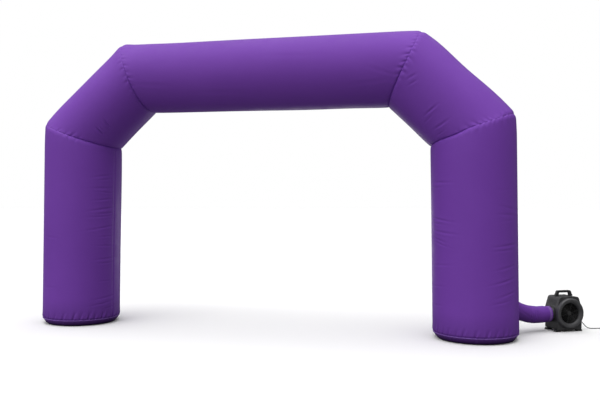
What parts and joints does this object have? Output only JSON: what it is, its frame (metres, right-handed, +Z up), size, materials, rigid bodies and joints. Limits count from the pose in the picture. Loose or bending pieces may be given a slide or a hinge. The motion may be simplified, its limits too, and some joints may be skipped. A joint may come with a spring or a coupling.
{
  "type": "inflatable arch with blower",
  "caption": "Inflatable entrance arch of mitred cloth tubes on sewn feet, held up by air from a small fan blower strapped to its sleeve.",
  "frame": {"origin": "on the ground, in the middle of the footprint of the arch and its blower, leaving out the lead", "axes": "+X runs from the left leg to the right leg and the blower, +Y from the front of the arch to its back, +Z up"},
  "size_m": [7.1875, 1.5078, 3.585],
  "materials": {
    "purple_cloth": "coated oxford polyester, satin",
    "purple_webbing": "woven tape and piping, matt",
    "charcoal_plastic": "moulded, fine texture",
    "black_plastic": "moulded, satin",
    "black_rubber": "matt"
  },
  "bodies": {
    "root": {"leg_left": "purple_cloth", "leg_right": "purple_cloth", "shoulder_left": "purple_cloth", "shoulder_right": "purple_cloth", "beam": "purple_cloth", "foot_left": "purple_cloth", "foot_right": "purple_cloth", "air_sleeve": "purple_cloth", "foot_piping_left": "purple_webbing", "foot_piping_right": "purple_webbing", "sleeve_strap": "purple_webbing", "blower_housing": "charcoal_plastic", "intake_bezel": "charcoal_plastic", "intake_guard": "black_plastic", "blower_outlet": "black_plastic", "blower_handle": "black_plastic", "blower_foot_front_left": "black_rubber", "blower_foot_front_right": "black_rubber", "blower_foot_back_left": "black_rubber", "blower_foot_back_right": "black_rubber", "lead_strain_relief": "black_rubber", "power_lead": "black_rubber", "lead_tail": "black_rubber", "lead_coil": "black_rubber", "mains_plug": "black_rubber"}
  },
  "joints": []
}
